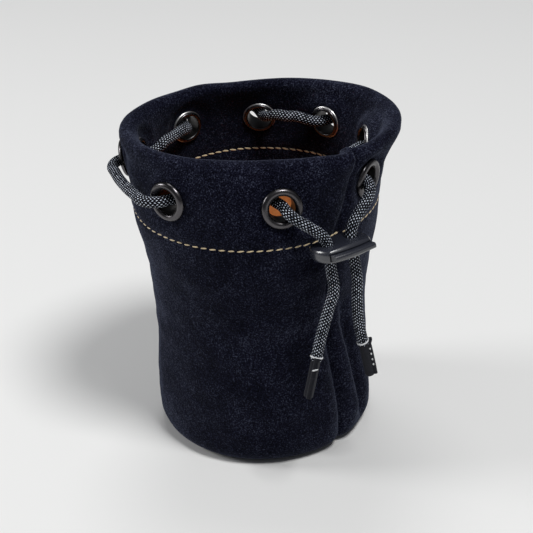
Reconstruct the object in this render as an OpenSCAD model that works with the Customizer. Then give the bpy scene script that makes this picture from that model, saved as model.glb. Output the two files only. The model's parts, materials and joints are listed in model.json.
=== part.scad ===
// Leather drawstring dice cup: a round base, a suede wall that flares to a soft oval mouth,
// a turned-in hem with eyelets, a tan lining, a laced cord and a sprung two-hole cord lock.
// Millimetres, +Z up. The origin is the middle of the base where it stands. -Y faces the lock.

/* [Cup] */
// Height from the standing surface to the crest of the rim
cup_h = 112; // [95:1:125]
// Outer radius of the straight lower body
body_r = 36.6; // [33:0.1:40]
// Mean outer radius of the hem
hem_r = 41.2; // [39:0.1:45]
// Height at which the body starts to flare
flare_from = 44; // [25:1:55]
// Height of the flare itself
flare_h = 46; // [30:1:50]
// Radius of the turned edge round the base
edge_r = 6; // [4:0.5:9]
// Depth of the side seam's groove
seam_dip = 0.9; // [0.3:0.1:1.2]
// Half width of the side seam's groove, in degrees round the wall
seam_half = 4; // [2:0.5:8]
// Direction of the side seam, in degrees from the lock
seam_turn = 5; // [0:1:20]

/* [Leather] */
// Thickness of the suede
suede_t = 2; // [1.6:0.1:2.4]
// Thickness of the lining leather
lining_t = 1.4; // [1:0.1:1.8]
// Gap between leather layers that lie on each other
layer_gap = 0.1; // [0.05:0.05:0.2]

/* [Hem and mouth] */
// Drop from the crest of the rim to the hem's stitch line
hem_drop = 27; // [22:0.5:32]
// Width of the hem's edge below the stitch line
hem_lap = 5.5; // [3:0.1:8]
// How far the lining is tucked up above the stitch line
lining_tuck = 3.4; // [2:0.1:5]
// Radius of the rolled rim
rim_r = 3; // [2.8:0.1:3.6]
// How far the rim's long axis stands out, and its short axis in, from round
mouth_oval = 4; // [0:0.1:6]
// Direction of the mouth's long axis, in degrees from +X
mouth_turn = -32.5; // [-90:0.5:90]

/* [Eyelets] */
// Bore of an eyelet
eyelet_bore = 8.2; // [7.8:0.1:8.6]
// Wall thickness of an eyelet's barrel
eyelet_wall = 0.5; // [0.3:0.1:0.7]
// Outer diameter of an eyelet's domed flange
flange_d = 13.2; // [12.6:0.1:14]
// Height of the domed flange above the suede
flange_h = 1.2; // [0.9:0.1:1.6]
// Outer diameter of the ring washer inside
washer_d = 11.4; // [11:0.1:12.2]
// Thickness of the ring washer
washer_t = 1; // [0.7:0.1:1.3]
// Drop from the crest of the rim to the eyelets' centres
eyelet_drop = 13.5; // [12:0.1:15]
// Clearance round an eyelet's barrel in the suede
barrel_gap = 0.1; // [0.05:0.05:0.2]
// How deep flange and washer are pressed into the suede
seat_depth = 0.3; // [0.1:0.05:0.5]

/* [Drawcord] */
// Diameter of the cord
cord_d = 3.6; // [3.4:0.1:4]

/* [Cord lock] */
// Width of the lock along the wall
lock_w = 19.4; // [19:0.1:26]
// Depth of the lock's body
lock_d = 13.6; // [13.4:0.1:15]
// Height of the lock's body
lock_h = 5.2; // [5:0.1:7]
// Radius of the lock's curved long sides
lock_side_r = 34; // [20:0.5:44]
// Radius of the domed top and bottom
lock_dome_r = 60; // [50:1:120]
// Radius of the rounded rims
lock_round = 2.4; // [1.4:0.1:2.4]
// Distance from the cup's axis to the lock's centre
lock_out = 48.6; // [48:0.1:52]
// Height of the lock's centre
lock_z = 85.2; // [78:0.1:88]
// Distance of the lock's centre from the cup's front line, towards +X
lock_x = -0.9; // [-2:0.1:2]
// Lean of the lock, outer edge raised
lock_tilt = 12; // [0:1:20]
// Spacing of the two cord holes
hole_pitch = 9; // [8.8:0.1:9.2]
// Clearance round the cord in the lock
cord_gap = 0.4; // [0.3:0.05:0.5]
// Travel of the button
press_travel = 1.8; // [1:0.1:2]
// How far the button stands proud of the body
bar_proud = 2.4; // [1.2:0.1:2.8]
// Width of the button's bar
bar_w = 15.2; // [15:0.1:15.6]
// Height of the button's bar
bar_h = 1.8; // [1.8:0.1:2.6]
// Depth of the button's bar, front to back at its middle
bar_d = 4; // [3:0.1:4.4]
// Radius of the bar's curved front
bar_side_r = 50; // [30:1:80]
// Rounding of the bar's long edges
bar_round = 0.7; // [0.3:0.1:0.8]
// Height of the button's tongue inside the body
tongue_h = 1.8; // [1.6:0.1:1.8]
// Wall of the tongue round its slots
tongue_wall = 0.6; // [0.5:0.05:0.65]
// Clearance round the button in the body
button_gap = 0.3; // [0.3:0.05:0.4]
// Outer diameter of the spring
spring_d = 1.8; // [1.6:0.1:1.8]
// Wire diameter of the spring
spring_wire = 0.4; // [0.3:0.05:0.5]
// Turns of the spring
spring_turns = 7; // [5:1:9]
// Clearance beside the spring, and at its ends
spring_gap = 0.3; // [0.2:0.05:0.4]

/* [End tabs] */
// Length of a leather end tab
tab_l = 13; // [10:0.5:16]
// Width of a tab with its sewn flap
tab_w = 5; // [4:0.1:6]
// Diameter of the tab's round side, where the leather is folded round the cord
tab_d = 3.6; // [3:0.1:3.8]
// Thickness of the flap, two leathers sewn together
flap_t = 2; // [1.4:0.1:2.6]
// Turn of the left tab's flap about the cord
left_flap = 122; // [90:1:150]
// Turn of the right tab's flap about the cord
right_flap = 212; // [180:1:240]

/* [Hidden] */

// How far the wall's turned edge stays above the base's underside
floor_gap = 0.2;
// Bevel round the edges of the base discs
skive = 0.4;
// Gap between metal faces that are pressed on each other
metal_gap = 0.05;
// How far a barrel reaches up inside its domed flange
barrel_up = 0.3;
// Width and height of the curled end of a barrel
curl_w = 1.3;
curl_h = 0.6;
// Height that the lock's form has to spare above its domed faces
dome_room = 0.4;
// How far the button's tongue runs into its bar
tongue_lap = 0.5;
// How far a cutting shape reaches past what it cuts
cut_past = 4;

// Steps of the lofted wall, the cord and the spring's wire
columns = 56;
column_gap = 1;
rim_steps = 7;
edge_steps = 4;
flare_steps = 6;
hem_steps = 4;
cord_sides = 8;
wire_sides = 6;
wire_steps = 12;
// Any direction that neither the cord nor the spring starts along
first_side = [0.3, 1, 0.2];

suede_color = [0.07, 0.08, 0.13];
tan_color = [0.62, 0.36, 0.16];
cord_color = [0.16, 0.17, 0.2];
dark_metal = [0.28, 0.28, 0.31];
bright_metal = [0.7, 0.7, 0.72];
plastic_color = [0.1, 0.11, 0.13];

stitch_z = cup_h - hem_drop;
hem_z = stitch_z - hem_lap;
tuck_z = stitch_z + lining_tuck;
rim_z = cup_h - rim_r;
eyelet_z = cup_h - eyelet_drop;
edge_z = floor_gap + edge_r;
pocket_t = suede_t + lining_t + 2 * layer_gap;
hem_t = pocket_t + suede_t - 2 * layer_gap;

// Eyelets round the hem, in degrees from the lock, anticlockwise seen from above
eyelet_turns = [-21, -75, -129, -174, 143, 103, 65, 27];

function smooth(u) = let(v = min(1, max(0, u))) v * v * (3 - 2 * v);
function turn_gap(a, b) = let(d = (a - b) % 360) abs(d > 180 ? d - 360 : (d < -180 ? d + 360 : d));

// The wall's outer surface: mean radius by height, then the oval that grows towards the rim
function mean_r(z) = body_r + (hem_r - body_r) * smooth((z - flare_from) / flare_h);
function oval(z) = let(u = max(0, (z - stitch_z) / (rim_z - stitch_z))) mouth_oval * u * u;
function wall_r(a, z) = mean_r(z) + oval(z) * cos(2 * (a - 90 - mouth_turn));
function groove(a) = let(u = 1 - turn_gap(a, seam_turn) / seam_half) u > 0 ? seam_dip * u * u : 0;
// The hem's thickness, which grows from the hem's edge to the full roll at the rim
function hem_depth(z) = hem_t + (2 * rim_r - hem_t) * smooth((z - eyelet_z) / (rim_z - eyelet_z));

// Turns count from -Y towards +X, so a turn of 0 faces the lock
function at_turn(a, r, z) = [r * sin(a), -r * cos(a), z];

function unit(v) = v / norm(v);
function wall_point(a, z, depth = 0) = at_turn(a, wall_r(a, z) - depth, z);
function wall_normal(a, z) =
    unit(cross(wall_point(a + 1, z) - wall_point(a - 1, z), wall_point(a, z + 1) - wall_point(a, z - 1)));

// One row per height: [share of the groove, depth below the outer surface, height]
edge_arc = [for (i = [0:edge_steps]) let(t = -90 + 90 * i / edge_steps)
    [cos(t), edge_r * (1 - cos(t)), edge_z + edge_r * sin(t)]];
outer_side = [for (i = [0:flare_steps]) [1, 0, flare_from + (stitch_z - flare_from) * i / flare_steps]];
outer_hem = [for (i = [1:hem_steps - 1]) [1, 0, stitch_z + (rim_z - stitch_z) * i / hem_steps]];
rim_arc = [for (i = [0:rim_steps]) let(t = 180 * i / rim_steps)
    [max(0, cos(t)), rim_r * (1 - cos(t)), rim_z + rim_r * sin(t)]];
inner_hem = [for (i = [1:hem_steps]) let(z = rim_z + (hem_z - rim_z) * i / hem_steps) [0, hem_depth(z), z]];
pocket = [[0, pocket_t, hem_z], [0, pocket_t, tuck_z], [0, suede_t, tuck_z], [0, suede_t, stitch_z]];
inner_side = [for (i = [1:flare_steps]) [0, suede_t, stitch_z + (flare_from - stitch_z) * i / flare_steps]];
inner_arc = [for (i = [0:edge_steps]) let(t = -90 * i / edge_steps)
    [0, edge_r - (edge_r - suede_t) * cos(t), edge_z + (edge_r - suede_t) * sin(t)]];
wall_rows = concat(edge_arc, outer_side, outer_hem, rim_arc, inner_hem, pocket, inner_side, inner_arc);

// Columns round the wall: even steps, with closer ones in the seam's groove
wall_turns = [for (a = concat([0, seam_half / 2, seam_half],
    [for (i = [1:columns - 1]) let(b = 360 * i / columns)
        if (min(b, 360 - b) > seam_half + column_gap) b],
    [360 - seam_half, 360 - seam_half / 2])) a + seam_turn];

// The lining follows the wall's inner face, from its edge under the hem down to the base
function lining_face(depth) = concat([[0, depth, tuck_z - layer_gap], [0, depth, stitch_z]],
    [for (row = inner_side) [0, depth, row.z]],
    [for (i = [0:edge_steps]) let(t = -90 * i / edge_steps)
        [0, edge_r - (edge_r - depth) * cos(t), edge_z + (edge_r - depth) * sin(t)]]);
function reversed(list) = [for (i = [len(list) - 1:-1:0]) list[i]];
lining_rows = concat(lining_face(suede_t + layer_gap),
    reversed(lining_face(suede_t + layer_gap + lining_t)));

// The lock: x along the wall, y inwards, z up the cord holes
hole_d = cord_d + 2 * cord_gap;
tongue_w = hole_pitch + hole_d + 2 * tongue_wall;
tongue_end = hole_d / 2 + tongue_wall;
channel_w = spring_d + 2 * spring_gap;
bar_front = lock_d / 2 + bar_proud;
bar_back = bar_front - bar_d;
spring_front = bar_back - tongue_wall / 2;
pocket_back = tongue_end + press_travel + button_gap;
spring_back = pocket_back - spring_gap / 2;

// Route of the cord. Tails: [x, y, z] from the lock down to the tabs, and through the lock
left_tail = [[-13.4, -51.5, 50.5], [-11.7, -51.5, 56.5], [-9.8, -51.5, 62.2], [-7.6, -51.5, 68],
    [-5.9, -51.4, 72], [-5.4, -50.8, 75], [-5.4, -49.8, 79.7],
    [-5.4, -49, 83.7], [-5.4, -48.1, 87.7]];
right_tail = [[3.6, -48.1, 87.7], [3.6, -49, 83.7], [3.6, -49.8, 79.7], [3.5, -51.2, 73.2],
    [3.1, -51.5, 68], [3.2, -51.5, 62], [3.9, -51.5, 56], [5.2, -51.5, 49.5]];
// Between the lock and the first and last eyelet: [degrees from the lock, distance from the axis, height]
left_lead = [[-8.5, 47.5, 91], [-12.5, 46.3, 93.8], [-16.5, 44.2, 96], [-19.2, 41.6, 97.5]];
right_lead = [[24.4, 42.4, 98.4], [20.8, 45, 97.6], [16, 46.4, 96], [10.8, 46.9, 93.6], [6.5, 47.4, 90.9]];
// A pass through an eyelet from the outside in: [degrees along the wall, distance out from the hem]
lace_pass = [[14, 3.2], [9.5, 3.9], [5.5, 3.2], [2.6, 1.3], [0.8, -1.3],
    [-0.8, -4.2], [-2.6, -7], [-6, -9.2], [-10, -10.5], [-14, -11]];
// Distance from the hem in the middle of a run inside and outside the wall, and a run's step in degrees
run_inside = -11.6;
run_outside = 2.6;
run_step = 7;
// Height of each run between two eyelets. The first run is inside the wall, the next outside
run_z = [97, 98.2, 100.7, 98, 100.9, 98, 98.8];

lace_turns = [for (a = eyelet_turns) a > 0 ? a - 360 : a];
lace_span = lace_pass[0][0];
lace_in = [for (p = lace_pass) if (p[0] < 1) p];
last_eyelet = len(lace_turns) - 1;
function hem_point(turn, out, z) = at_turn(turn, wall_r(turn, eyelet_z) + out, z);
// The cord goes in through one eyelet and out through the next, each pass the mirror of the last
function pass_point(i, p) = let(side = i % 2 == 0 ? p[0] : -p[0],
    run = side > 0 ? max(0, i - 1) : min(i, len(run_z) - 1))
    hem_point(lace_turns[i] + side, p[1],
        eyelet_z + (run_z[run] - eyelet_z) * smooth(abs(side) / lace_span));
function lace(i, list) = [for (p = i % 2 == 0 ? list : reversed(list)) pass_point(i, p)];
// From the pass at one eyelet to the pass at the next
function run(i) = let(end = i % 2 == 0 ? lace_pass[len(lace_pass) - 1][1] : lace_pass[0][1],
    middle = i % 2 == 0 ? run_inside : run_outside, first = lace_turns[i] - lace_span,
    gap = first - lace_turns[i + 1] - lace_span, steps = round(gap / run_step))
    [for (j = [1:1:steps - 1])
        hem_point(first - gap * j / steps, end + (middle - end) * sin(180 * j / steps), run_z[i])];
cord_route = concat(
    left_tail, [for (p = left_lead) at_turn(p[0], p[1], p[2])], lace(0, lace_in), run(0),
    [for (i = [1:last_eyelet - 1]) each concat(lace(i, lace_pass), run(i))], lace(last_eyelet, lace_in),
    [for (p = right_lead) at_turn(p[0], p[1], p[2])], right_tail);

// A closed mesh from rings of equally many points; the last ring joins the first if looped
function ring_faces(rings, count, looped) =
    [for (i = [0:rings - (looped ? 1 : 2)], j = [0:count - 1], half = [0, 1])
        let(a = i * count + j, b = i * count + (j + 1) % count,
            c = ((i + 1) % rings) * count + j, d = ((i + 1) % rings) * count + (j + 1) % count)
        half == 0 ? [a, b, c] : [b, d, c]];

// A shell of revolution that follows the wall's oval, one ring of points per row
module wall_shell(rows) {
    points = [for (row = rows, a = wall_turns) wall_point(a, row.z, row[1] + row[0] * groove(a))];
    polyhedron(points, ring_faces(len(rows), len(wall_turns), true));
}

// A round tube along a route, its rings carried along without twist
function along(route, i) =
    unit(unit(route[min(i + 1, len(route) - 1)] - route[max(i - 1, 0)]));
function square_to(v, t) = unit(v - (v * t) * t);
module tube(route, d, sides) {
    last = len(route) - 1;
    sideways = [for (i = 0, s = square_to(first_side, along(route, 0)); i <= last;
        i = i + 1, s = i <= last ? square_to(s, along(route, i)) : s) s];
    points = [for (i = [0:last], j = [0:sides - 1])
        let(s = sideways[i], u = cross(along(route, i), s), a = 360 * (j + 0.5) / sides)
        route[i] + d / 2 * (cos(a) * s + sin(a) * u)];
    polyhedron(points, concat([[for (j = [0:sides - 1]) j]],
        [[for (j = [sides - 1:-1:0]) last * sides + j]],
        [for (f = ring_faces(last + 1, sides, false)) [f[0], f[2], f[1]]]));
}

// Puts children on the wall at an eyelet, +Z along the wall's outward normal
module at_eyelet(a) {
    n = wall_normal(a, eyelet_z);
    translate(wall_point(a, eyelet_z)) rotate([0, acos(n.z), atan2(n.y, n.x)]) children();
}
// Thickness of the hem measured square to its surface
function hem_grip(a) = let(n = wall_normal(a, eyelet_z)) hem_depth(eyelet_z) * norm([n.x, n.y]);

barrel_r = eyelet_bore / 2 + eyelet_wall;

// A round cut that clears a pressed piece of radius r
module seat(r, low, high) {
    translate([0, 0, low]) cylinder(r = r + barrel_gap, h = high - low, $fn = 48);
}

// The side wall: turned edge, flared side, hem rolled in over the rim, and a pocket for the lining
module wall_panel() {
    color(suede_color) difference() {
        wall_shell(wall_rows);
        for (a = eyelet_turns) at_eyelet(a) {
            seat(barrel_r, -hem_grip(a) - cut_past, cut_past);
            seat(flange_d / 2, -seat_depth, cut_past);
            seat(washer_d / 2, -hem_grip(a) - cut_past, seat_depth - hem_grip(a));
        }
    }
}

// Lining leather, its top edge tucked behind the hem
module lining_wall() {
    color(tan_color) wall_shell(lining_rows);
}

// A disc of leather inside the wall's turned edge
module base_disc(t, z) {
    r = body_r - edge_r - layer_gap;
    translate([0, 0, z]) rotate_extrude($fn = 72)
        polygon([[0, 0], [r - skive, 0], [r, skive], [r, t - skive], [r - skive, t], [0, t]]);
}

module base_outer() {
    color(suede_color) base_disc(suede_t, 0);
}

module base_lining() {
    color(tan_color) base_disc(lining_t, suede_t + layer_gap);
}

// Section of a low dome on a ring, w wide from the bore, bulging up or down from z
module dome_section(z, w, h, side) {
    r = (w * w / 4 + h * h) / (2 * h);
    intersection() {
        translate([eyelet_bore / 2 + w / 2, z + side * (h - r)]) circle(r = r, $fn = 48);
        translate([eyelet_bore / 2, side > 0 ? z : z - h]) square([w, h]);
    }
}

// Domed flange outside, barrel through the hem, curled end inside
module eyelet(a) {
    flange_z = metal_gap - seat_depth;
    curl_z = seat_depth - hem_grip(a) - washer_t - 2 * metal_gap;
    color(dark_metal) at_eyelet(a) rotate_extrude($fn = 72) {
        translate([eyelet_bore / 2, curl_z]) square([eyelet_wall, flange_z + barrel_up - curl_z]);
        dome_section(flange_z, flange_d / 2 - eyelet_bore / 2, flange_h, 1);
        dome_section(curl_z, curl_w, curl_h, -1);
    }
}

// Ring with a round outer edge, clenched under the eyelet's curled end
module washer(a) {
    inner = barrel_r + barrel_gap;
    outer = washer_d / 2 - washer_t / 2;
    color(bright_metal) at_eyelet(a) translate([0, 0, seat_depth - hem_grip(a) - metal_gap - washer_t])
        rotate_extrude($fn = 72) {
            translate([inner, 0]) square([outer - inner, washer_t]);
            translate([outer, washer_t / 2]) circle(d = washer_t, $fn = 32);
        }
}

// One cord, laced in and out round the hem, both ends down through the lock
module drawcord() {
    color(cord_color) tube(cord_route, cord_d, cord_sides);
}

// Puts children at the lock, leaning with it
module at_lock() {
    translate([lock_x, -lock_out, lock_z]) rotate([-lock_tilt, 0, 0]) children();
}

// Half the section of a disc with rounded rims, centred on its height
module rim_section(r, h, rim) {
    translate([0, -h / 2]) square([r - rim, h]);
    translate([0, rim - h / 2]) square([r, h - 2 * rim]);
    for (s = [-1, 1]) translate([r - rim, s * (h / 2 - rim)]) circle(r = rim, $fn = 48);
}

module round_disc(r, h, rim) {
    rotate_extrude($fn = 120) rim_section(r, h, rim);
}

// The lock's ends are a domed disc, and its long sides two wide arcs
module lock_form() {
    intersection() {
        translate([0, lock_side_r - lock_d / 2, 0]) round_disc(lock_side_r, lock_h + dome_room, lock_round);
        translate([0, lock_d / 2 - lock_side_r, 0]) round_disc(lock_side_r, lock_h + dome_room, lock_round);
        rotate_extrude($fn = 96) intersection() {
            rim_section(lock_w / 2, lock_h + dome_room, lock_round);
            translate([0, lock_h / 2 - lock_dome_r]) circle(r = lock_dome_r, $fn = 360);
            translate([0, lock_dome_r - lock_h / 2]) circle(r = lock_dome_r, $fn = 360);
            translate([0, -lock_h]) square([lock_w, 2 * lock_h]);
        }
    }
}

// Two cord holes, a mouth for the bar in front and a pocket for the tongue behind it
module lock_body() {
    bar_room = bar_h + 2 * button_gap;
    tongue_room = tongue_h + 2 * button_gap;
    color(plastic_color) at_lock() difference() {
        lock_form();
        // Mouth for the bar, as deep as the button travels
        translate([-bar_w / 2 - button_gap, -lock_d, -bar_room / 2])
            cube([bar_w + 2 * button_gap, lock_d - bar_back + press_travel + button_gap, bar_room]);
        // Pocket for the tongue
        translate([-tongue_w / 2 - button_gap, -lock_d / 2, -tongue_room / 2])
            cube([tongue_w + 2 * button_gap, lock_d / 2 + pocket_back, tongue_room]);
        for (s = [-1, 1]) translate([s * hole_pitch / 2, 0, 0])
            cylinder(d = hole_d, h = 2 * lock_h, center = true, $fn = 48);
    }
}

// A bar to press, and a tongue whose slots grip the cords when the spring pushes it out
module lock_button() {
    color(plastic_color) at_lock() {
        // Bar under the thumb
        intersection() {
            translate([0, bar_side_r - bar_front, 0]) round_disc(bar_side_r, bar_h, bar_round);
            translate([-bar_w / 2, -bar_front, -bar_h / 2]) cube([bar_w, bar_d, bar_h]);
        }
        // Tongue with a slot for each cord and a channel for the spring
        difference() {
            translate([-tongue_w / 2, -bar_back - tongue_lap, -tongue_h / 2])
                cube([tongue_w, bar_back + tongue_lap + tongue_end, tongue_h]);
            for (s = [-1, 1]) translate([s * hole_pitch / 2, 0, 0]) {
                cylinder(d = hole_d, h = bar_h, center = true, $fn = 48);
                translate([0, -press_travel, 0]) cylinder(d = hole_d, h = bar_h, center = true, $fn = 48);
                translate([-hole_d / 2, -press_travel, -bar_h / 2]) cube([hole_d, press_travel, bar_h]);
            }
            translate([-channel_w / 2, -spring_front, -bar_h / 2]) cube([channel_w, lock_d, bar_h]);
        }
    }
}

// Coil spring between the tongue and the back of its pocket
module lock_spring() {
    length = spring_front + spring_back;
    steps = spring_turns * wire_steps;
    coil = [for (i = [0:steps]) let(a = 360 * i / wire_steps, u = i / steps)
        [(spring_d - spring_wire) / 2 * cos(a),
            -spring_front + spring_gap / 2 + spring_wire / 2 + (length - spring_gap - spring_wire) * u,
            (spring_d - spring_wire) / 2 * sin(a)]];
    color(bright_metal) at_lock() tube(coil, spring_wire, wire_sides);
}

// Leather folded round the cord's end, its two edges sewn together as a flap
module end_tab(top, above, flap_turn) {
    d = unit(top - above);
    color(suede_color) translate(top) rotate([0, acos(d.z), atan2(d.y, d.x)])
        linear_extrude(height = tab_l) rotate(flap_turn) {
            circle(d = tab_d, $fn = 32);
            translate([0, -flap_t / 2]) square([tab_w - tab_d / 2, flap_t]);
        }
}

module end_tab_left() {
    end_tab(left_tail[0], left_tail[1], left_flap);
}

module end_tab_right() {
    last = len(right_tail) - 1;
    end_tab(right_tail[last], right_tail[last - 1], right_flap);
}

wall_panel();
lining_wall();
base_outer();
base_lining();
for (i = [1:len(eyelet_turns)]) {
    eyelet(eyelet_turns[i - 1]);
    washer(eyelet_turns[i - 1]);
}
drawcord();
lock_body();
lock_button();
lock_spring();
end_tab_left();
end_tab_right();
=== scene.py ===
# %% [markdown]
# # A leather drawstring dice cup
# The cup is a suede wall sewn into a tube, rolled over at the rim and held by a laced cord with a
# sprung lock. The hard pieces, such as the eyelets and the lock, come ready as exact solids. This
# lesson dresses them with finishes, and models what is soft: the suede, the lining, the cord, the
# leather tabs and all the thread.

# %% Load the solids
import json
import math

import bmesh
import bpy
from mathutils import Matrix, Vector, noise


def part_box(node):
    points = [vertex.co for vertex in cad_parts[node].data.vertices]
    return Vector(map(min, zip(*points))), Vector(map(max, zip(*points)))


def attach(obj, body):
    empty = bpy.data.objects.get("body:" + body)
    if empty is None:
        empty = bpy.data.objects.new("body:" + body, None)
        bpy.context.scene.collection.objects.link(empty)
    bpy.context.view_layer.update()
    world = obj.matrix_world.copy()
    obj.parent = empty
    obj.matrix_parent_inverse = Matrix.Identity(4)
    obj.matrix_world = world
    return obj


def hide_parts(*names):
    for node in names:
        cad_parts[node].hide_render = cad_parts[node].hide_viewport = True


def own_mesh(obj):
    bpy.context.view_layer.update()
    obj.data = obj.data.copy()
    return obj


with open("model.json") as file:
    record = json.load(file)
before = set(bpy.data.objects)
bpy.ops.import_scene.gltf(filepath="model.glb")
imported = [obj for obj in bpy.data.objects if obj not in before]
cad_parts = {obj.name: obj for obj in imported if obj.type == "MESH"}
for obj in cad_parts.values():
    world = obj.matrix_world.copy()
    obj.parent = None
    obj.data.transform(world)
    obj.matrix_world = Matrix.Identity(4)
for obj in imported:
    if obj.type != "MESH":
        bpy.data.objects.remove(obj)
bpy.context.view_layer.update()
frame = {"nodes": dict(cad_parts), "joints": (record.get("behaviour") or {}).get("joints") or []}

MM = 0.001
nodes = frame["nodes"]

# %% [markdown]
# ## The camera
# A long lens flattens the cup only a little, so its rim is still seen as a wide oval. The camera
# stands half a metre away, about a third of a metre up, looks down at the hem and leans a little.
# Its place is given as a bearing, a distance along the floor and a height, because those are
# easier to read than a matrix. The turn is then built from three plain angles.

# %% Camera
camera_bearing = math.radians(-32.5)
camera_distance = 477.97 * MM
camera_height = 320.43 * MM
camera_pitch = math.radians(28.863)
camera_yaw = math.radians(0.294)
camera_roll = math.radians(-2.835)
sensor_width = 36.0
focal_share = 1599.85 / 533


def make_camera():
    data = bpy.data.cameras.new("camera")
    data.sensor_width = sensor_width
    data.lens = sensor_width * focal_share
    data.clip_start = 10 * MM
    camera = bpy.data.objects.new("camera", data)
    bpy.context.scene.collection.objects.link(camera)
    forward = Vector((-math.sin(camera_bearing), math.cos(camera_bearing), 0))
    forward.rotate(Matrix.Rotation(-camera_yaw, 3, "Z"))
    forward = forward * math.cos(camera_pitch) - Vector((0, 0, math.sin(camera_pitch)))
    right = forward.cross(Vector((0, 0, 1))).normalized()
    up = right.cross(forward)
    leaned = right * math.cos(camera_roll) + up * math.sin(camera_roll)
    raised = up * math.cos(camera_roll) - right * math.sin(camera_roll)
    turn = Matrix((leaned, raised, -forward)).transposed()
    place = Vector((math.sin(camera_bearing), -math.cos(camera_bearing), 0)) * camera_distance
    place.z = camera_height
    camera.matrix_world = Matrix.Translation(place) @ turn.to_4x4()
    return camera


bpy.context.scene.camera = make_camera()
print("camera at", [round(v / MM) for v in bpy.context.scene.camera.matrix_world.translation])

# %% [markdown]
# ## Small helpers for materials
# A finish is a tree of nodes that ends in one Principled shader. The helpers below make a node,
# set its inputs and link it in one line, so that each finish later reads as a short recipe.

# %% Material helpers


def new_finish(name, color, **settings):
    """A material whose Principled shader has plain values on its own sockets."""
    finish = bpy.data.materials.new(name)
    finish.use_nodes = True
    shader = finish.node_tree.nodes["Principled BSDF"]
    shader.inputs["Base Color"].default_value = (*color, 1)
    for socket, value in settings.items():
        shader.inputs[socket.replace("_", " ")].default_value = value
    return finish, finish.node_tree, shader


def node(tree, kind, **inputs):
    """A node of that kind, with numbers set and sockets linked by input name."""
    made = tree.nodes.new("ShaderNode" + kind)
    for name, value in inputs.items():
        key = int(name[1:]) if name[0] == "_" else name.replace("_", " ")
        socket = made.inputs[key]
        if isinstance(value, bpy.types.NodeSocket):
            tree.links.new(value, socket)
        else:
            socket.default_value = value
    return made


def calc(tree, operation, first, second=0.0, third=0.0):
    made = node(tree, "Math", _0=first, _1=second, _2=third)
    made.operation = operation
    return made.outputs[0]


def clouds(tree, place, size, detail=3.0, rough=0.55):
    """Noise whose lumps are about size metres across, from 0 to 1."""
    made = node(tree, "TexNoise", Vector=place, Scale=1 / size, Detail=detail, Roughness=rough)
    return made.outputs["Fac"]


def ramp(tree, factor, *stops):
    """A colour ramp from (position, colour) pairs."""
    made = node(tree, "ValToRGB", Fac=factor)
    line = made.color_ramp.elements
    while len(line) < len(stops):
        line.new(0.5)
    for element, (position, color) in zip(line, stops):
        element.position = position
        element.color = (*color, 1)
    return made.outputs["Color"]


def bumps(tree, shader, *layers):
    """Chains (height, depth in metres) layers of bump into the shader's normal."""
    normal = None
    for height, depth in layers:
        made = node(tree, "Bump", Height=height, Distance=depth, Strength=1.0)
        if normal is not None:
            tree.links.new(normal, made.inputs["Normal"])
        normal = made.outputs["Normal"]
    tree.links.new(normal, shader.inputs["Normal"])


def place_of(tree):
    return node(tree, "TexCoord").outputs["Object"]


def dress(piece, finish):
    piece.data.materials.clear()
    piece.data.materials.append(finish)


print("helpers ready")

# %% [markdown]
# ## Sizes of the suede wall
# The wall is one panel with its flesh side out. Seen in section it starts under the base, turns up
# round a small radius, rises, flares, rolls over the rim and comes down inside as a hem that
# traps the lining. The sizes are the ones that drive the solids, in millimetres, and the cord's
# route and the soft pieces are worked out from them.

# %% Wall sizes


def at_turn(turn, distance, height):
    """A point by its turn in degrees from the lock, its distance from the axis and its height."""
    angle = math.radians(turn)
    return Vector((distance * math.sin(angle), -distance * math.cos(angle), height))


cup_height = 112.0
body_radius = 36.6
hem_radius = 41.2
flare_from, flare_height = 44.0, 46.0
edge_radius = 6.0
floor_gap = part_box("wall_panel")[0].z / MM
suede_thick, lining_thick, layer_gap = 2.0, 1.4, 0.1
rim_radius = 3.0
rim_height = cup_height - rim_radius
stitch_drop, eyelet_drop, hem_lap = 27, 13.5, 5.5
stitch_height = cup_height - stitch_drop
hem_edge = stitch_height - hem_lap
lining_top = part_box("lining_wall")[1].z / MM
eyelet_height = cup_height - eyelet_drop
hem_thick = 2 * suede_thick + lining_thick
pocket_thick = suede_thick + lining_thick + 2 * layer_gap
mouth_oval, mouth_turn = 4.0, -32.5
print("cup height", round(cup_height, 1), "stitch line at", round(stitch_height, 1))


def smooth(share):
    """Eases a share from 0 to 1, and holds it there beyond both ends."""
    share = min(1, max(0, share))
    return share * share * (3 - 2 * share)


def mean_radius(height):
    return body_radius + (hem_radius - body_radius) * smooth((height - flare_from) / flare_height)


def wall_radius(turn, height):
    """The outer face of the wall: round below, an oval that grows towards the rim."""
    rise = max(0, (height - stitch_height) / (rim_height - stitch_height))
    oval = mouth_oval * rise * rise
    return mean_radius(height) + oval * math.cos(2 * math.radians(turn - 90 - mouth_turn))


def hem_depth(height):
    rise = smooth((height - eyelet_height) / (rim_height - eyelet_height))
    return hem_thick + (2 * rim_radius - hem_thick) * rise


# %% [markdown]
# ## The cord's route
# The cord is one braided line. It starts at the left tab, climbs through the lock, laces in and
# out of the eight eyelets all the way round, and comes back down through the lock to the right
# tab. Its route was settled with the solids, so it is worked out here in the same way. The tails
# are points in x, y and z. A lead, from the lock to an eyelet, is given by turn, distance from the
# axis and height. The lacing repeats one pass through an eyelet, mirrored from each to the next.

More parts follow.
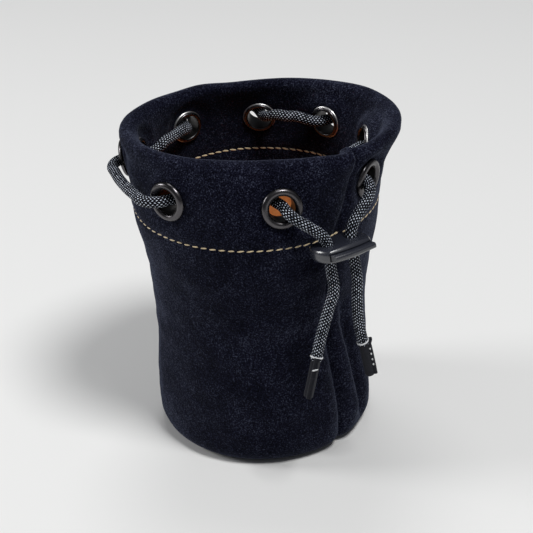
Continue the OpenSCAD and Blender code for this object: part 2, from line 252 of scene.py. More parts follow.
# %% Cord route
cord_width = 3.6 * MM
left_tail = [(-13.4, -51.5, 50.5), (-11.7, -51.5, 56.5), (-9.8, -51.5, 62.2), (-7.6, -51.5, 68),
             (-5.9, -51.4, 72), (-5.4, -50.8, 75), (-5.4, -49.8, 79.7), (-5.4, -49, 83.7),
             (-5.4, -48.1, 87.7)]
right_tail = [(3.6, -48.1, 87.7), (3.6, -49, 83.7), (3.6, -49.8, 79.7), (3.5, -51.2, 73.2),
              (3.1, -51.5, 68), (3.2, -51.5, 62), (3.9, -51.5, 56), (5.2, -51.5, 49.5)]
left_lead = [(-8.5, 47.5, 91), (-12.5, 46.3, 93.8), (-16.5, 44.2, 96), (-19.2, 41.6, 97.5)]
right_lead = [(24.4, 42.4, 98.4), (20.8, 45, 97.6), (16, 46.4, 96), (10.8, 46.9, 93.6),
              (6.5, 47.4, 90.9)]
eyelet_turns = [-21, -75, -129, -174, -217, -257, -295, -333]
lace_pass = [(14, 3.2), (9.5, 3.9), (5.5, 3.2), (2.6, 1.3), (0.8, -1.3),
             (-0.8, -4.2), (-2.6, -7), (-6, -9.2), (-10, -10.5), (-14, -11)]
lace_in = [(along, out) for along, out in lace_pass if along < 1]
lace_span = lace_pass[0][0]
run_inside, run_outside, run_step = -11.6, 2.6, 7
run_heights = [97, 98.2, 100.7, 98, 100.9, 98, 98.8]


def hem_point(turn, out, height):
    return at_turn(turn, wall_radius(turn, eyelet_height) + out, height)


def lace(i, pattern):
    """The pass at eyelet i, from (degrees along the wall, distance out) points: in, or out if odd."""
    way = 1 if i % 2 == 0 else -1
    points = []
    for along, out in pattern[::way]:
        side = way * along
        beside = run_heights[max(0, i - 1) if side > 0 else min(i, len(run_heights) - 1)]
        rise = (beside - eyelet_height) * smooth(abs(side) / lace_span)
        points.append(hem_point(eyelet_turns[i] + side, out, eyelet_height + rise))
    return points


def run(i):
    """The cord between the passes at eyelet i and the next one, bowed to the middle distance."""
    end, middle = (lace_pass[-1][1], run_inside) if i % 2 == 0 else (lace_pass[0][1], run_outside)
    first = eyelet_turns[i] - lace_span
    gap = first - eyelet_turns[i + 1] - lace_span
    steps = round(gap / run_step)
    return [hem_point(first - gap * j / steps, end + (middle - end) * math.sin(math.pi * j / steps),
                      run_heights[i]) for j in range(1, steps)]


last_eyelet = len(eyelet_turns) - 1
route = [Vector(p) for p in left_tail] + [at_turn(*p) for p in left_lead] + lace(0, lace_in) + run(0)
for i in range(1, last_eyelet):
    route += lace(i, lace_pass) + run(i)
route += lace(last_eyelet, lace_in) + [at_turn(*p) for p in right_lead]
route = [p * MM for p in route + [Vector(p) for p in right_tail]]
print("route points:", len(route))


def smooth_line(points, step):
    """Points every step metres along a smooth curve through all the given ones."""
    ends = [points[0] * 2 - points[1], *points, points[-1] * 2 - points[-2]]
    dense = []
    for a, b, c, d in zip(ends, ends[1:], ends[2:], ends[3:]):
        for i in range(16):
            t = i / 16
            dense.append(0.5 * (2 * b + (c - a) * t + (2 * a - 5 * b + 4 * c - d) * t * t
                                + (3 * b - 3 * c + d - a) * t ** 3))
    dense.append(points[-1].copy())
    line, left = [dense[0]], step
    for a, b in zip(dense, dense[1:]):
        length = (b - a).length
        while length > 0 and left <= length:
            line.append(a.lerp(b, left / length))
            left += step
        left -= length
    return line


braid_step = 1.1 * MM
cord_line = smooth_line(route, braid_step / 4)

# %% [markdown]
# ## The cord itself
# A braided sheath has sixteen columns of strands. Neighbours lean opposite ways and are half a
# step apart, as strands that pass over and under each other. A curve with a round bevel gives an
# even tube along the route without twist. Made a mesh, it is swelled strand by strand, so that the
# outline of the cord is knotty as a real one, and it gets a map of its own: columns across, braid
# steps along.

# %% Cord mesh
cord_columns = 16
cord_sides = 3 * cord_columns
strand_lean = 0.6
strand_swell = 0.09 * MM


def cord_tube(name, line, width, sides):
    """A mesh tube along a line of points, with rings of that many sides in order."""
    curve = bpy.data.curves.new(name, "CURVE")
    curve.dimensions = "3D"
    curve.twist_mode = "MINIMUM"
    curve.bevel_depth = width / 2
    curve.bevel_resolution = sides // 2 - 2
    spline = curve.splines.new("POLY")
    spline.points.add(len(line) - 1)
    for point, place in zip(spline.points, line):
        point.co = (*place, 1)
    holder = bpy.data.objects.new(name, curve)
    bpy.context.scene.collection.objects.link(holder)
    bpy.context.view_layer.update()
    mesh = bpy.data.meshes.new_from_object(holder.evaluated_get(bpy.context.evaluated_depsgraph_get()))
    bpy.data.objects.remove(holder)
    return mesh


def add_piece(name, mesh, finish=None, shaded=True):
    """Links a mesh as a piece of the object, shaded smooth unless told otherwise."""
    piece = bpy.data.objects.new(name, mesh)
    bpy.context.scene.collection.objects.link(piece)
    mesh.polygons.foreach_set("use_smooth", [shaded] * len(mesh.polygons))
    if finish:
        dress(piece, finish)
    return piece


def to_mesh(work, name):
    """Writes a bmesh to a new mesh and frees it."""
    mesh = bpy.data.meshes.new(name)
    work.to_mesh(mesh)
    work.free()
    return mesh


cord_mesh = cord_tube("drawcord_braid", cord_line, cord_width, cord_sides)
sides = len(cord_mesh.vertices) // len(cord_line)
print("cord mesh:", len(cord_mesh.vertices), "points,", sides, "round")


def strand_height(column, along):
    """Height of the braid at a column from 0 to 16 and a place along in braid steps, 0 to 1."""
    lean = abs((column + 1) % 2 - 1)
    across = math.sin(math.pi * (column % 1))
    turned = along + strand_lean * lean + 0.5 * (int(column) % 2)
    return across * (0.55 + 0.45 * math.sin(2 * math.pi * turned))


for point in cord_mesh.vertices:
    ring, side = divmod(point.index, sides)
    outward = (point.co - cord_line[ring]).normalized()
    column = side * cord_columns / sides
    point.co += outward * strand_swell * (strand_height(column, ring / 4) - 0.5)

cord_map = cord_mesh.uv_layers.new(name="braid_map")
for face in cord_mesh.polygons:
    corners = [divmod(cord_mesh.loops[i].vertex_index, sides) for i in face.loop_indices]
    wraps = max(side for _, side in corners) == sides - 1 and len(corners) == 4
    for loop, (ring, side) in zip(face.loop_indices, corners):
        turn = sides if wraps and side == 0 else side
        cord_map.data[loop].uv = (turn * cord_columns / sides, ring / 4)

# %% [markdown]
# ## The cord's finish
# The strands are black nylon, and the crossings between them stay black. The pale blue-grey flecks
# on their crowns are painted highlights: glints of light put into the colour. The map makes this
# easy: a ping-pong across the columns leans straight bands to and fro, a half step shifts every
# other column, a sine makes the highlights, and a noise dims some of them at random.

# %% Cord finish


def cord_finish():
    finish, tree, shader = new_finish("braided_nylon", (0.01, 0.011, 0.015), Roughness=0.6,
                                      Specular_IOR_Level=0.1)
    braid_map = node(tree, "UVMap")
    braid_map.uv_map = "braid_map"
    parts = node(tree, "SeparateXYZ", Vector=braid_map.outputs["UV"])
    column, along = parts.outputs["X"], parts.outputs["Y"]
    lean = calc(tree, "PINGPONG", column, 1.0)
    every_other = calc(tree, "MODULO", calc(tree, "FLOOR", column), 2.0)
    turned = calc(tree, "MULTIPLY_ADD", every_other, 0.5, calc(
        tree, "MULTIPLY_ADD", lean, strand_lean, along))
    wave = calc(tree, "SINE", calc(tree, "MULTIPLY", turned, 2 * math.pi))
    across = calc(tree, "SINE", calc(tree, "MULTIPLY", lean, math.pi))
    crown = calc(tree, "MULTIPLY", calc(tree, "MULTIPLY_ADD", wave, 0.5, 0.5), across)
    # Painted highlights: pale colour on the strand crowns stands in for glints of light, and a noise
    # dims some of them at random.
    glint_dimming = clouds(tree, place_of(tree), 1.6 * MM, 2)
    crown_glint = calc(tree, "MULTIPLY", crown, calc(tree, "MULTIPLY_ADD", glint_dimming, 0.9, 0.5))
    color = ramp(tree, crown_glint, (0.0, (0.001, 0.0011, 0.002)), (0.53, (0.003, 0.0035, 0.006)),
                 (0.68, (0.08, 0.1, 0.15)), (0.84, (0.8, 0.86, 0.97)))
    tree.links.new(color, shader.inputs["Base Color"])
    bumps(tree, shader, (crown, 0.08 * MM))
    return finish


cord_look = cord_finish()
drawcord = add_piece("drawcord_braid", cord_mesh, cord_look)
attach(drawcord, "cup")
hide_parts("drawcord")
print("cord dressed")

# %% [markdown]
# ## The shape that use gives to suede
# A cup that is handled is not a clean surface of revolution. The side seam pulls in a crease that
# drifts to one side near the base and at the rim, a second fold runs beside it, the stitch line
# bites into the pile, the eyelets press a shallow dish round themselves, the sides are drawn in
# and gently dented, and the mouth leans. Each of these is a small function of the turn and the
# height, in degrees and millimetres, so that they add up.

# %% Folds and dents
seam_line = [(112, 15.5), (105, 14.6), (100, 12.8), (96, 11.2), (91, 8.3), (87, 5.5), (76, 3),
             (64, 2.5), (52, 4.3), (39, 6.5), (28, 9.3), (17, 11.8), (9, 12.3), (0, 11)]
side_fold = [(60, 12), (49, 15.9), (43, 17.8), (32, 22.8), (17, 29.1), (8, 32)]
lean_turn = 57.5
hollow_width = 40
side_hollows = [(-1.7, 0, 42, 15), (-1.4, 180, 64, 14), (0.7, 0, 10, 8)]
dish_depth, dish_reach, dish_slope = 0.55, 10.5, 4.5


def turn_on(line, height):
    """The turn of a crease at that height, from its (height, turn) points."""
    for (above, turn_above), (below, turn_below) in zip(line, line[1:]):
        if height >= below:
            share = min(1, (height - below) / (above - below))
            return turn_below + (turn_above - turn_below) * share
    return line[-1][1]


def turn_gap(a, b):
    """The shorter way round from b to a, in degrees."""
    return (a - b + 180) % 360 - 180


def valley(offset, width):
    """A smooth bell, 1 at no offset and near 0 at twice the width."""
    return math.exp(-(offset / width) ** 2)


eyelet_axes = {}
for number in range(1, 9):
    outer = nodes[f"eyelet_{number}"].data.vertices
    inner = nodes[f"washer_{number}"].data.vertices
    centre = sum((v.co for v in outer), Vector()) / len(outer)
    back = sum((v.co for v in inner), Vector()) / len(inner)
    eyelet_axes[number] = (centre / MM, (centre - back).normalized())
print("eyelets at turns", [round(math.degrees(math.atan2(c.x, -c.y))) for c, _ in eyelet_axes.values()])


def hollow(turn, height, middle_turn, middle_height, spread_turn, spread_height):
    """A smooth round hollow in the wall, 1 in its middle and 0 far from it."""
    across = turn_gap(turn, middle_turn) / spread_turn
    return valley(across, 1) * valley(height - middle_height, spread_height)


def folds(turn, height):
    """The deep folds by the seam and beside it, with the full ridges between them."""
    arc = math.radians(1) * mean_radius(height)
    seam = turn_gap(turn, turn_on(seam_line, height)) * arc
    fold = turn_gap(turn, turn_on(side_fold, height)) * arc
    low = smooth((62 - height) / 16) * smooth((height - 2) / 12)
    depth = -(0.7 + 0.9 * smooth((70 - height) / 20)) * valley(seam, 2.6)
    depth += low * (1.5 * valley(seam - 6, 3.6) + 0.8 * valley(seam + 6, 4.0))
    return depth + low * (-2.8 * valley(fold, 2.2) + 1.1 * valley(fold - 6, 4.0))


def dents(turn, height):
    """Slow dents and folds that all layers of the wall share, and the hollows of its sides."""
    spot = at_turn(turn, 1, 0) * 1.15
    slow = noise.noise(Vector((spot.x, spot.y, height / 30)) + Vector((3.1, 1.7, 5.2)))
    quick = noise.noise(Vector((spot.x, spot.y, height / 14)) * 2.1 + Vector((7.7, 2.2, 0.4)))
    room = 1 - 0.75 * smooth((height - 70) / 12)
    depth = room * smooth(height / 12) * (1.3 * slow + 0.45 * quick)
    for amount, aside, middle, spread in side_hollows:
        depth += amount * hollow(turn, height, lean_turn + aside, middle, hollow_width, spread)
    return depth + folds(turn, height)


def creases(turn, height):
    """The groove of the seam, its tip at the base and small unevenness, on the outer face alone."""
    seam = turn_gap(turn, turn_on(seam_line, height)) * math.radians(1) * mean_radius(height)
    depth = -1.2 * (0.75 + 0.45 * smooth((70 - height) / 20)) * valley(seam, 0.9)
    depth += 1.5 * valley(seam, 1.6) * (1 - smooth((height - 1) / 6))
    spot = at_turn(turn, 6.4, height / 6)
    return depth + 0.16 * noise.noise(spot) + 0.09 * noise.noise(spot * 2.3)


def near_eyelet(place):
    """Distance from a point, in millimetres, to the axis of the eyelet it lies by."""
    gaps = [(place - centre).cross(axis).length for centre, axis in eyelet_axes.values()
            if (place - centre).length < 16]
    return min(gaps, default=16)


def rim_swell(turn, height, away):
    """How far the soft mouth stands out and up: it leans to one side and laps over at the seam."""
    rise = smooth((height - eyelet_height - 5) / 6)
    free = smooth((away - 6.8) / 4)
    side = math.radians(turn_gap(turn, lean_turn))
    lean = 2.1 * smooth((height - 97) / 13) + 0.8 * smooth((height - 86) / 10)
    spot = at_turn(turn, 1, 0) * 1.9
    past = turn_gap(turn_on(seam_line, height), turn) * math.radians(1) * hem_radius
    lap = smooth(past / 0.8) * (1 - smooth((past - 4) / 8)) - 0.9 * valley(past, 0.9)
    out = 0.7 * noise.noise(spot + Vector((4.4, 0.3, 8.1))) + 1.2 * lap + 0.6 * math.cos(2 * side)
    up = 0.6 * noise.noise(spot * 1.4 + Vector((0.9, 6.3, 2.5))) - 0.3 * lap
    return free * (rise * out + lean * math.cos(side)), rise * up


def stitch_bite(height):
    """The groove that the stitches pull into the suede, with a low swell above it."""
    return -0.45 * valley(height - stitch_height, 0.8) + 0.12 * valley(height - stitch_height - 3, 1.8)


def eyelet_dish(place):
    """The shallow dish that a pressed eyelet leaves round itself, as a change of radius."""
    for centre, axis in eyelet_axes.values():
        away = place - centre
        if away.length < 14:
            return -dish_depth * smooth((dish_reach - away.cross(axis).length) / dish_slope)
    return 0


# %% [markdown]
# ## The suede wall
# The section is drawn once as a chain of points on a straight tube and spun round, which closes
# it into a shell with real thickness. Each point then knows its turn, its height and how deep it
# lies under the outer face, so one pass gives the shell its flare, oval, folds and dents. The
# eyelet holes are cut last, with a Boolean, so that light falls through the eyelets as it should.

# %% Wall mesh
wall_steps = 336
row_step = 1.1


def straight(start, end, step=row_step):
    """Points from start to end, both (depth, height), with the last one left out."""
    count = max(1, round(math.dist(start, end) / step))
    return [(start[0] + (end[0] - start[0]) * i / count, start[1] + (end[1] - start[1]) * i / count)
            for i in range(count)]


def rounded(centre, radius, first, last, count):
    """Points on an arc from angle first to last in degrees, with the last one left out."""
    angles = [math.radians(first + (last - first) * i / count) for i in range(count)]
    return [(centre[0] + radius * math.cos(a), centre[1] + radius * math.sin(a)) for a in angles]


def spun(section, steps):
    """Spins a closed section of (depth, height) points round the cup's axis."""
    work = bmesh.new()
    corners = [work.verts.new((0, -(body_radius - depth), height)) for depth, height in section]
    edges = [work.edges.new(pair) for pair in zip(corners, corners[1:] + corners[:1])]
    bmesh.ops.spin(work, geom=corners + edges, cent=(0, 0, 0), axis=(0, 0, 1), dvec=(0, 0, 0),
                   angle=2 * math.pi, steps=steps, use_merge=True, use_normal_flip=False,
                   use_duplicate=False)
    bmesh.ops.recalc_face_normals(work, faces=work.faces)
    return work


def shape_wall(work, outer_skin):
    """Moves each point of a spun section to its place on the cup, in metres."""
    for point in work.verts:
        turn = math.degrees(math.atan2(point.co.x, -point.co.y))
        height = point.co.z
        depth = body_radius - math.hypot(point.co.x, point.co.y)
        radius = wall_radius(turn, height) - depth + dents(turn, height)
        outside = 1 - smooth(depth / suede_thick) if outer_skin else 0
        if outside > 0:
            place = at_turn(turn, radius, height)
            radius += outside * (creases(turn, height) + stitch_bite(height) + eyelet_dish(place))
        elif outer_skin and height > hem_edge and depth > hem_thick - 1:
            radius -= stitch_bite(height)
        if outer_skin and height > stitch_height:
            out, up = rim_swell(turn, height, near_eyelet(at_turn(turn, radius, height)))
            radius += out
            height += up
        point.co = at_turn(turn, radius, height) * MM


section = rounded((edge_radius, floor_gap + edge_radius), edge_radius, 270, 180, 9)
section += straight((0, floor_gap + edge_radius), (0, rim_height))
section += rounded((rim_radius, rim_height), rim_radius, 180, 0, 14)
hem_rows = [rim_height + (hem_edge - rim_height) * i / 26 for i in range(27)]
section += [(hem_depth(height), height) for height in hem_rows]
section += straight((pocket_thick, hem_edge), (pocket_thick, lining_top + layer_gap), 2)
section += straight((pocket_thick, lining_top + layer_gap), (suede_thick, lining_top + layer_gap), 2)
section += straight((suede_thick, lining_top + layer_gap), (suede_thick, floor_gap + edge_radius), 2.2)
section += rounded((edge_radius, floor_gap + edge_radius), edge_radius - suede_thick, 180, 270, 6)
section += [(edge_radius, floor_gap + suede_thick)]

wall_work = spun(section, wall_steps)
shape_wall(wall_work, True)
wall = add_piece("suede_wall", to_mesh(wall_work, "suede_wall"))
print("wall:", len(wall.data.polygons), "faces")

# %% Eyelet holes
hole_radius, hole_reach = 4.75, 24


def cut_eyelet_holes(piece):
    work = bmesh.new()
    for centre, axis in eyelet_axes.values():
        place = Matrix.Translation(centre * MM) @ axis.to_track_quat("Z", "Y").to_matrix().to_4x4()
        bmesh.ops.create_cone(work, cap_ends=True, segments=40, radius1=hole_radius * MM,
                              radius2=hole_radius * MM, depth=hole_reach * MM, matrix=place)
    cutter = add_piece("hole_cutter", to_mesh(work, "hole_cutter"))
    cut = piece.modifiers.new("holes", "BOOLEAN")
    cut.object = cutter
    cut.operation = "DIFFERENCE"
    cut.solver = "EXACT"
    bpy.context.view_layer.update()
    view = bpy.context.evaluated_depsgraph_get()
    piece.data = bpy.data.meshes.new_from_object(piece.evaluated_get(view))
    piece.modifiers.clear()
    bpy.data.objects.remove(cutter)


cut_eyelet_holes(wall)
print("wall with holes:", len(wall.data.polygons), "faces")
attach(wall, "cup")
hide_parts("wall_panel")

# %% [markdown]
# ## Suede
# Suede has no gloss. What makes it read as suede is the pile: short fibres that scatter light back
# at grazing angles, so that rims look lighter than faces, and that lie in patches which the hand
# has brushed one way or the other. The finish is a near-black navy with slow brushed patches and a
# fine speckle, with a faint sheen and two layers of bump. Its colour is also lightened where the
# face turns away: a painted sheen.

# %% Suede finish


def suede_finish():
    finish, tree, shader = new_finish("navy_suede", (0.006, 0.0062, 0.012), Roughness=0.95,
                                      Specular_IOR_Level=0.03, Sheen_Weight=0.06,
                                      Sheen_Roughness=0.5, Sheen_Tint=(0.62, 0.7, 0.9, 1))
    place = place_of(tree)
    patches = clouds(tree, place, 13 * MM, 3, 0.6)
    pile = clouds(tree, place, 2.2 * MM, 3, 0.7)
    speckle = clouds(tree, place, 0.5 * MM, 1, 0.8)
    mixed = calc(tree, "MULTIPLY_ADD", patches, 0.35, calc(
        tree, "MULTIPLY_ADD", pile, 0.2, calc(tree, "MULTIPLY", speckle, 0.95)))
    # Painted sheen: the colour is lightened where the face turns away from the view.
    edge = node(tree, "LayerWeight", Blend=0.35).outputs["Facing"]
    grey = calc(tree, "MULTIPLY_ADD", calc(tree, "POWER", edge, 3.0), 0.42, mixed)
    color = ramp(tree, grey, (0.52, (0.0004, 0.0004, 0.0016)), (0.70, (0.0023, 0.0024, 0.0074)),
                 (0.85, (0.0095, 0.0104, 0.022)), (0.98, (0.042, 0.048, 0.075)))
    tree.links.new(color, shader.inputs["Base Color"])
    bumps(tree, shader, (pile, 0.5 * MM), (speckle, 0.35 * MM))
    return finish


suede = suede_finish()
dress(wall, suede)
print("suede ready")

# %% [markdown]
# ## The lining
# Inside, a smooth tan leather lines the wall from under the hem down to the base. It lies on the
# wall and follows its dents, so it is spun and shaped by the same functions. The bottom is closed
# by a disc of suede, and a disc of tan leather covers it inside; both are a little wavy.

# %% Lining mesh
lining_out = suede_thick + layer_gap
lining_in = lining_out + lining_thick
base_edge = (edge_radius, floor_gap + edge_radius)
lining = [(lining_out, lining_top)]
lining += straight((lining_out, stitch_height), (lining_out, base_edge[1]), 2.2)
lining += rounded(base_edge, edge_radius - lining_out, 180, 270, 6)
lining += [(edge_radius, base_edge[1] - edge_radius + lining_out)]
lining += [(edge_radius, base_edge[1] - edge_radius + lining_in)]
lining += list(reversed(rounded(base_edge, edge_radius - lining_in, 180, 270, 6)))
lining += straight((lining_in, base_edge[1] + 2), (lining_in, lining_top), 2.2)
lining += [(lining_in, lining_top)]
lining_work = spun(lining, 132)
shape_wall(lining_work, False)
lining_wall = add_piece("tan_lining", to_mesh(lining_work, "tan_lining"))
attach(lining_wall, "cup")
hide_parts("lining_wall")
print("lining:", len(lining_wall.data.polygons), "faces")


# %% Base mesh


def base_piece(name, low, thick, sag):
    """A disc of leather with a softly rounded edge, a little wavy on its upper face."""
    reach = body_radius - edge_radius - layer_gap
    rows = [reach * i / 22 for i in range(23)]
    work = bmesh.new()
    chain = [(0, low)] + [(r, low) for r in rows[1:-1]] + [(reach - 0.15, low + 0.1)]
    chain += [(reach, low + thick / 2), (reach - 0.15, low + thick - 0.1)]
    chain += [(r, low + thick) for r in reversed(rows[1:-1])] + [(0, low + thick)]
    corners = [work.verts.new((x, 0, z)) for x, z in chain]
    edges = [work.edges.new(pair) for pair in zip(corners, corners[1:])]
    bmesh.ops.spin(work, geom=corners + edges, cent=(0, 0, 0), axis=(0, 0, 1), dvec=(0, 0, 0),
                   angle=2 * math.pi, steps=96, use_merge=True, use_normal_flip=False,
                   use_duplicate=False)
    bmesh.ops.remove_doubles(work, verts=work.verts, dist=0.001)
    bmesh.ops.recalc_face_normals(work, faces=work.faces)
    for point in work.verts:
        inside = 1 - smooth((point.co.xy.length - reach + 5) / 4)
        wave = noise.noise(point.co * 0.06 + Vector((2.2, 8.8, 1.1)))
        point.co.z += inside * sag * (1 + wave)
        point.co *= MM
    return add_piece(name, to_mesh(work, name))


suede_base = base_piece("suede_base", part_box("base_outer")[0].z / MM, suede_thick, 0.25)
tan_base = base_piece("tan_base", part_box("base_lining")[0].z / MM, lining_thick, 0.25)
bases = ((suede_base, "base_outer", "navy_suede"), (tan_base, "base_lining", "tan_leather"))
for piece, name, slot in bases:
    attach(piece, "cup")
    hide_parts(name)
print("base pieces:", len(suede_base.data.polygons), "faces each")

# %% Lining finish


def tan_finish():
    finish, tree, shader = new_finish("tan_leather", (0.74, 0.31, 0.105), Roughness=0.5,
                                      Specular_IOR_Level=0.4)
    place = place_of(tree)
    tone = calc(tree, "MULTIPLY_ADD", clouds(tree, place, 14 * MM, 4), 0.7,
                calc(tree, "MULTIPLY", clouds(tree, place, 1.8 * MM, 3), 0.3))
    color = ramp(tree, tone, (0.3, (0.52, 0.19, 0.055)), (0.52, (0.74, 0.31, 0.105)),
                 (0.72, (0.84, 0.42, 0.18)))
    tree.links.new(color, shader.inputs["Base Color"])
    grain = node(tree, "TexVoronoi", Vector=place, Scale=1 / (0.9 * MM)).outputs["Distance"]
    tree.links.new(calc(tree, "MULTIPLY_ADD", tone, 0.25, 0.35), shader.inputs["Roughness"])
    bumps(tree, shader, (grain, 0.06 * MM))
    return finish


tan = tan_finish()
dress(lining_wall, tan)
dress(tan_base, tan)
dress(suede_base, suede)
print("tan ready")

# %% [markdown]
# ## Metal
# The eyelets are dark nickel over brass. Inside the bore they are rougher, and their colour there
# is near black: painted shade in the hollow of the barrel. The washers inside the cup are bright
# nickel. Both are true turned shapes already, so they only need a metal with slightly uneven gloss
# and fine pits.

# %% Metal finishes


def metal_finish(name, color, roughness, bore=None):
    """Plated metal. A bore, given as (centre, axis, radius), is left dull inside and coloured near
    black there as painted shade.
    """
    finish, tree, shader = new_finish(name, color, Metallic=1.0, Roughness=roughness)
    place = place_of(tree)
    smears = clouds(tree, place, 3 * MM, 4)
    shift = calc(tree, "MULTIPLY_ADD", smears, 0.22, roughness - 0.1)
    tint = ramp(tree, smears, (0.3, tuple(0.8 * c for c in color)), (0.7, color))
    if bore:
        centre, axis, radius = bore
        away = node(tree, "VectorMath", _0=place, _1=centre * MM)
        away.operation = "SUBTRACT"
        square = node(tree, "VectorMath", _0=away.outputs[0], _1=axis)
        square.operation = "CROSS_PRODUCT"
        reach = node(tree, "VectorMath", _0=square.outputs[0])
        reach.operation = "LENGTH"
        outside_bore = calc(tree, "GREATER_THAN", reach.outputs["Value"], radius * MM)
        # Painted shade: inside the bore the colour is near black.
        mix = node(tree, "MixRGB", Fac=outside_bore, Color1=(0.055, 0.053, 0.053, 1), Color2=tint)
        tint = mix.outputs[0]
        shift = calc(tree, "MAXIMUM", shift, calc(tree, "MULTIPLY_ADD", outside_bore, -0.4, 0.4))
    tree.links.new(shift, shader.inputs["Roughness"])
    tree.links.new(tint, shader.inputs["Base Color"])
    bumps(tree, shader, (clouds(tree, place, 0.3 * MM, 2), 0.006 * MM))
    return finish


bright_nickel = metal_finish("bright_nickel", (0.85, 0.84, 0.83), 0.36)
shaded_bore_radius = 4.22
for number, (centre, axis) in eyelet_axes.items():
    bore = (centre, axis, shaded_bore_radius)
    dark_nickel = metal_finish(f"dark_nickel_{number}", (0.10, 0.095, 0.10), 0.26, bore)
    dress(nodes[f"eyelet_{number}"], dark_nickel)
    dress(nodes[f"washer_{number}"], bright_nickel)
dress(nodes["lock_spring"], bright_nickel)
print("metal ready")

# %% [markdown]
# ## The spring in the lock
# The coil behind the button shortens when the bar is pressed, and a rigid copy would be pushed
# through the back of its pocket. The coil is drawn again here, as a wire along a helix between the
# same two ends, with a mesh of its own that rides with the button.

# %% Lock spring
press = next(joint for joint in frame["joints"] if joint["name"] == "button_press")
press_axis = Vector(press["axis"])
coil_turns, coil_wire, coil_width = 7, 0.4 * MM, 1.8 * MM
coil_places = [v.co for v in nodes["lock_spring"].data.vertices]
coil_ends = [pick(place.dot(press_axis) for place in coil_places) for pick in (min, max)]
coil_length = coil_ends[1] - coil_ends[0]
coil_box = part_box("lock_spring")
coil_middle = (coil_box[0] + coil_box[1]) / 2
coil_front = coil_middle + press_axis * (coil_ends[0] - coil_middle.dot(press_axis))


def coil_line(steps):
    """Points along the helix, from the button's end to the back of the pocket."""
    across = Vector((1, 0, 0))
    upward = across.cross(press_axis)
    points = []
    for i in range(steps * coil_turns + 1):
        angle = 2 * math.pi * i / steps
        along = coil_wire / 2 + (coil_length - coil_wire) * i / (steps * coil_turns)
        arm = (across * math.cos(angle) + upward * math.sin(angle)) * (coil_width - coil_wire) / 2
        points.append(coil_front + press_axis * along + arm)
    return points


spring = add_piece("coil_spring", cord_tube("coil_spring", coil_line(24), coil_wire, 10), bright_nickel)
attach(spring, "button")
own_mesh(spring)
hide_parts("lock_spring")
print("spring:", round(coil_length / MM, 2), "mm long at rest")

# %% [markdown]
# ## Plastic
# The cord lock is moulded in black acetal with a satin skin: a soft broad highlight and almost no
# texture, apart from the faint orange peel of the mould.

# %% Plastic finish


def plastic_finish():
    finish, tree, shader = new_finish("black_plastic", (0.018, 0.02, 0.029), Roughness=0.25,
                                      Specular_IOR_Level=1.0)
    place = place_of(tree)
    peel = clouds(tree, place, 0.7 * MM, 2)
    tree.links.new(calc(tree, "MULTIPLY_ADD", clouds(tree, place, 6 * MM, 3), 0.1, 0.2),
                   shader.inputs["Roughness"])
    bumps(tree, shader, (peel, 0.006 * MM))
    return finish


plastic = plastic_finish()
dress(nodes["lock_body"], plastic)
dress(nodes["lock_button"], plastic)

# %% [markdown]
# ## Hem stitches
# A saddle stitch in cream thread runs round the cup at the foot of the hem. Each stitch is a short
# plump bead, a stretched sphere whose ends dive into the suede, and each leans a little against
# the line. One row runs round the outside, and one round the inside of the hem.

# %% Hem stitches
stitch_count = 85
stitch_length = 2.45
thread_width = 0.7
stitch_lean = math.radians(9)
thread_depth = 0.42


def stitch(work, place, along, out, length, width, lean=0.0):
    """Adds one thread bead: centred at place, lying along one direction, out of the surface."""
    up = out.cross(along).normalized()
    turn = Matrix((along, up, out)).transposed()
    turn = turn @ Matrix.Rotation(lean, 3, "Z")
    size = Matrix.Diagonal((length / 2, width / 2, width * 0.42, 1))
    bmesh.ops.create_uvsphere(work, u_segments=8, v_segments=7, radius=1.0,
                              matrix=Matrix.Translation(place) @ turn.to_4x4() @ size
                              @ Matrix.Rotation(math.pi / 2, 4, "Y"))


def hem_stitches(name, depth, side):
    """A full round of stitches at a depth under the outer face, showing on that side."""
    work = bmesh.new()
    for i in range(stitch_count):
        turn = 360 * (i + 0.5) / stitch_count
        radius = wall_radius(turn, stitch_height) + dents(turn, stitch_height) - depth
        if side > 0:
            radius += creases(turn, stitch_height)
        place = at_turn(turn, radius - side * thread_depth, stitch_height)
        along = at_turn(turn + 90, 1, 0)
        out = at_turn(turn, side, 0)
        jitter = noise.noise(Vector((i * 1.7, side, 0.5)))
        stitch(work, place * MM, along, out, stitch_length * (1 + 0.12 * jitter) * MM,
               thread_width * MM, side * stitch_lean * (1 + 0.5 * jitter))
    bmesh.ops.recalc_face_normals(work, faces=work.faces)
    return add_piece(name, to_mesh(work, name))


def thread_finish(name, color):
    finish, tree, shader = new_finish(name, color, Roughness=0.6, Specular_IOR_Level=0.3,
                                      Sheen_Weight=0.2)
    place = place_of(tree)
    fibre = clouds(tree, place, 0.5 * MM, 3)
    tint = ramp(tree, fibre, (0.3, tuple(0.6 * c for c in color)), (0.6, color))
    tree.links.new(tint, shader.inputs["Base Color"])
    bumps(tree, shader, (clouds(tree, place, 0.25 * MM, 2), 0.08 * MM))
    return finish


cream_thread = thread_finish("cream_thread", (0.75, 0.60, 0.38))
white_thread = thread_finish("white_thread", (0.75, 0.76, 0.78))
for name, depth, side in (("hem_stitches_outside", 0.0, 1), ("hem_stitches_inside", hem_thick, -1)):
    row = hem_stitches(name, depth, side)
    dress(row, cream_thread)
    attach(row, "cup")
    print(name, len(row.data.polygons), "faces")

# %% [markdown]
# ## End tabs
# Each tab is one strip of black leather folded round the end of the cord, with its two edges sewn
# together as a flat flap. The section is a ring side and a flap with a fine joint line in its
# edge. It is drawn flat, swept down the cord's own direction, and then softened: drawn in at the
# top where the thread binds it, and slightly uneven along its length.

